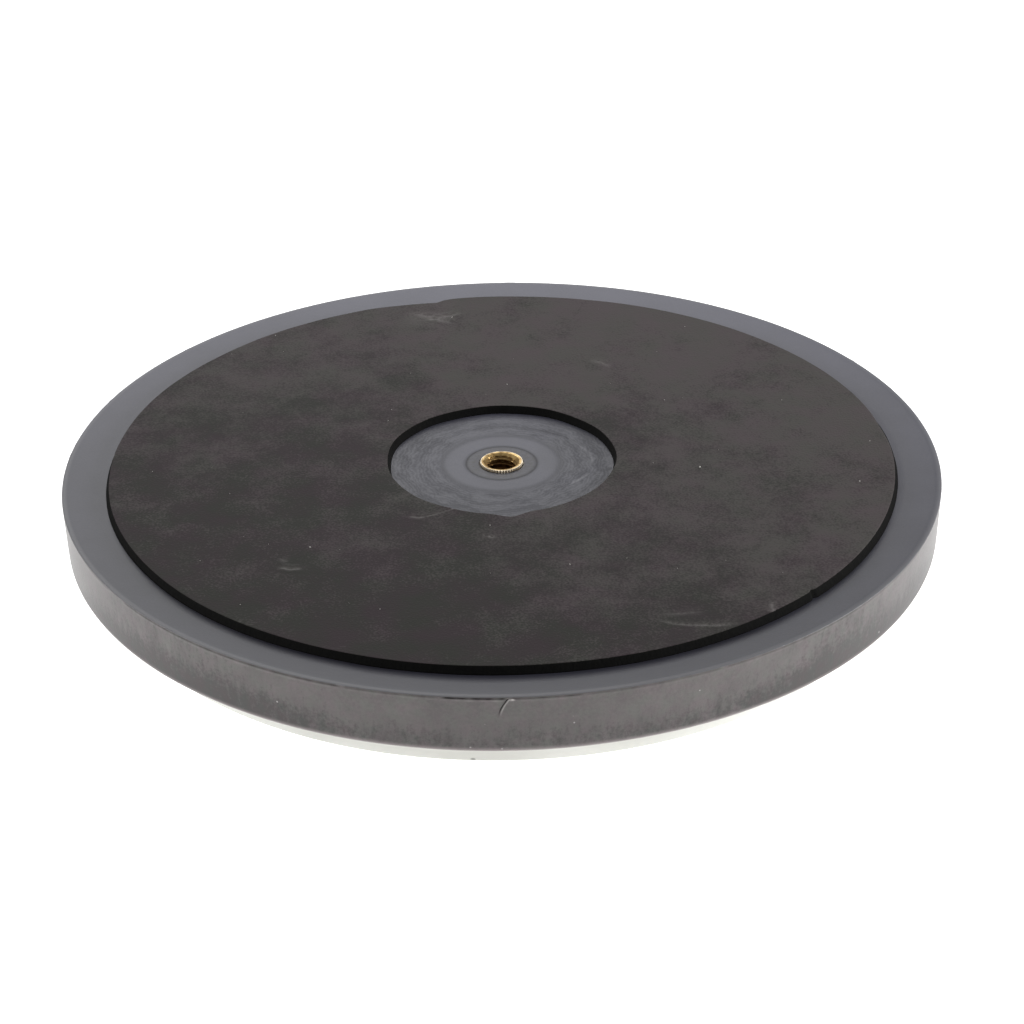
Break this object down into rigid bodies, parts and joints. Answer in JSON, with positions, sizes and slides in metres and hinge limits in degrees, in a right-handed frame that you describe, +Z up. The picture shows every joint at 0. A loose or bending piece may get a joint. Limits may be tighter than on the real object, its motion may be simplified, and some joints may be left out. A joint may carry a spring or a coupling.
{
  "type": "drum practice pad",
  "caption": "Round rubber drum practice pad with a pale playing face, a foam anti-slip ring on its back and a brass threaded insert for a stand.",
  "frame": {"origin": "centre of the playing face, which is the lowest face of the pad as it lies", "axes": "+Z up through the middle of the threaded insert, from the playing face to the mounting side; +X and +Y across the pad, with +Y away from the side that the foam ring is shifted to"},
  "size_m": [0.203, 0.203, 0.0218],
  "materials": {
    "playing_rubber": "matt pale moulded rubber",
    "adhesive": "thin contact adhesive",
    "core_board": "raw pressed board",
    "body_rubber": "grey moulded rubber, satin on the back and matt on the side wall",
    "insert_brass": "machined brass, slightly dull",
    "foam": "fine closed-cell sheet foam, matt"
  },
  "bodies": {
    "root": {"playing_surface": "playing_rubber", "playing_surface_adhesive": "adhesive", "stiff_core": "core_board", "rubber_body": "body_rubber", "threaded_insert": "insert_brass", "foam_ring_adhesive": "adhesive", "foam_ring": "foam"}
  },
  "joints": []
}
